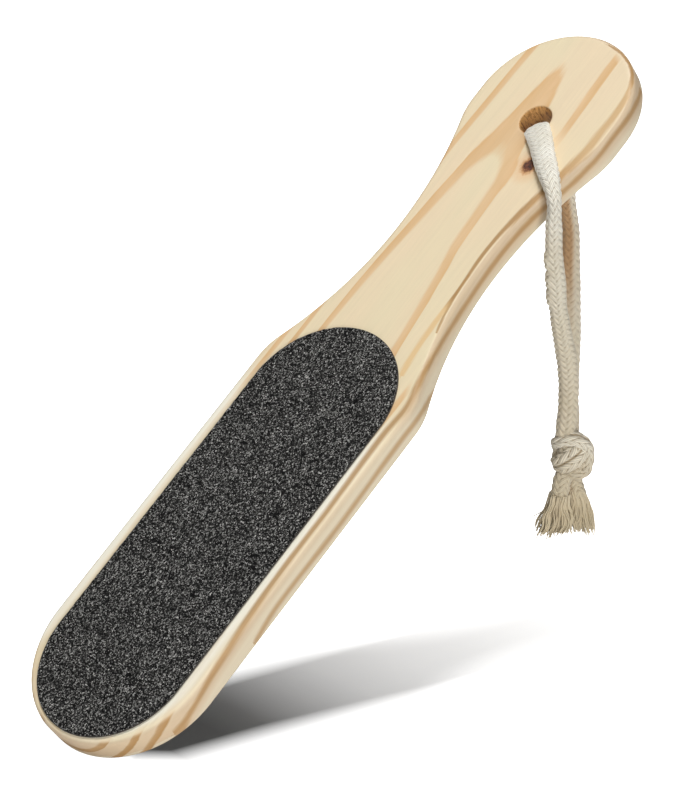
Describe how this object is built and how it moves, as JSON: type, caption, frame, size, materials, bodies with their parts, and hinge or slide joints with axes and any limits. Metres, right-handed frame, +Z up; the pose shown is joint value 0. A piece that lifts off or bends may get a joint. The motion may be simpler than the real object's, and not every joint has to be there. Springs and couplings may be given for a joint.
{
  "type": "foot file",
  "caption": "Two-sided foot file: a flat pine paddle with a coarse and a fine abrasive sheet, and a braided cotton cord knotted through a hole in the handle.",
  "frame": {"origin": "middle of the neck where a hand holds it, at half the board's thickness", "axes": "+Z up with the file held tip down and coarse face up, +X the horizontal direction of the handle's end, +Y across; the long axis rises 40.2 degrees and the board is rolled 6.5 degrees about it"},
  "size_m": [0.1992, 0.0602, 0.1701],
  "materials": {
    "pine": "satin",
    "adhesive": "matte",
    "backing_paper": "matte",
    "coarse_grit": "matte",
    "fine_grit": "matte",
    "cotton_cord": "matte"
  },
  "bodies": {
    "file": {"paddle": "pine", "coarse_adhesive": "adhesive", "coarse_backing": "backing_paper", "coarse_grit": "coarse_grit", "fine_adhesive": "adhesive", "fine_backing": "backing_paper", "fine_grit": "fine_grit", "cord_through_hole": "cotton_cord"},
    "loop": {"cord_front_strand": "cotton_cord", "cord_rear_strand": "cotton_cord", "cord_knot": "cotton_cord", "cord_front_tail": "cotton_cord", "cord_rear_tail": "cotton_cord", "cord_front_fringe": "cotton_cord", "cord_rear_fringe": "cotton_cord"}
  },
  "joints": [
    {"name": "loop_swing", "type": "hinge", "parent": "file", "child": "loop", "pos_m": [0.029, -0.01675, 0.01], "axis": [-0.8, -0.6, 0], "range_deg": [-20, 45]}
  ]
}
